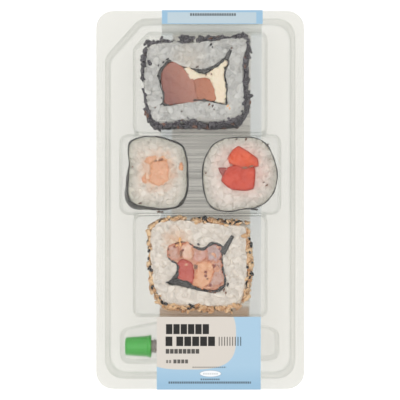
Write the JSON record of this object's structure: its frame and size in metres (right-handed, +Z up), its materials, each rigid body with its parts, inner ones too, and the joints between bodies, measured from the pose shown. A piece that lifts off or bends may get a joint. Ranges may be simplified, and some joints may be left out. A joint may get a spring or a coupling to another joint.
{
  "type": "takeaway sushi tray",
  "caption": "Clear recessed tray of cut sushi rolls under a sealed film, with a soy sauce bottle in its own pocket and a paper label wrapped round the pack.",
  "frame": {"origin": "middle of the pack's box, on the surface that the pack rests on (the underside of the label)", "axes": "+Y along the pack towards the end with the cut-off peel corner, +X across it, +Z up to the film"},
  "size_m": [0.0852, 0.1556, 0.0311],
  "materials": {
    "tray": "clear thermoformed plastic",
    "film": "clear glossy film",
    "label": "printed satin paper",
    "bottle": "milky clear plastic",
    "sauce": "dark liquid",
    "cap": "satin moulded plastic",
    "seaweed": "dry roasted sheet, slightly glossy",
    "rice": "moist grains",
    "salmon": "moist flaked fish",
    "cream_cheese": "smooth and soft",
    "salmon_mayo": "moist flaked fish",
    "prawn": "moist and smooth",
    "dressing": "thick sauce",
    "pepper": "moist flesh of red pepper"
  },
  "bodies": {
    "root": {"tray": "tray", "lid_film": "film", "label": "label", "sauce_bottle": "bottle", "soy_sauce": "sauce", "bottle_cap": "cap", "salmon_roll_rice": "rice", "salmon_roll_seaweed": "seaweed", "salmon_roll_salmon_left": "salmon", "salmon_roll_salmon_right": "salmon", "salmon_roll_cream_cheese": "cream_cheese", "prawn_roll_rice": "rice", "prawn_roll_seaweed": "seaweed", "prawn_roll_dressing": "dressing", "prawn_roll_prawn_a": "prawn", "prawn_roll_prawn_b": "prawn", "prawn_roll_prawn_c": "prawn", "prawn_roll_prawn_d": "prawn", "prawn_roll_prawn_e": "prawn", "prawn_roll_prawn_f": "prawn", "prawn_roll_red_pepper_strip": "pepper", "salmon_maki_rice": "rice", "salmon_maki_seaweed": "seaweed", "salmon_maki_salmon_core": "salmon_mayo", "salmon_maki_salmon_flake_a": "salmon_mayo", "salmon_maki_salmon_flake_b": "salmon_mayo", "salmon_maki_salmon_flake_c": "salmon_mayo", "salmon_maki_salmon_flake_d": "salmon_mayo", "pepper_maki_rice": "rice", "pepper_maki_seaweed": "seaweed", "pepper_maki_pepper_upper": "pepper", "pepper_maki_pepper_lower": "pepper", "pepper_maki_pepper_scrap": "pepper"}
  },
  "joints": []
}
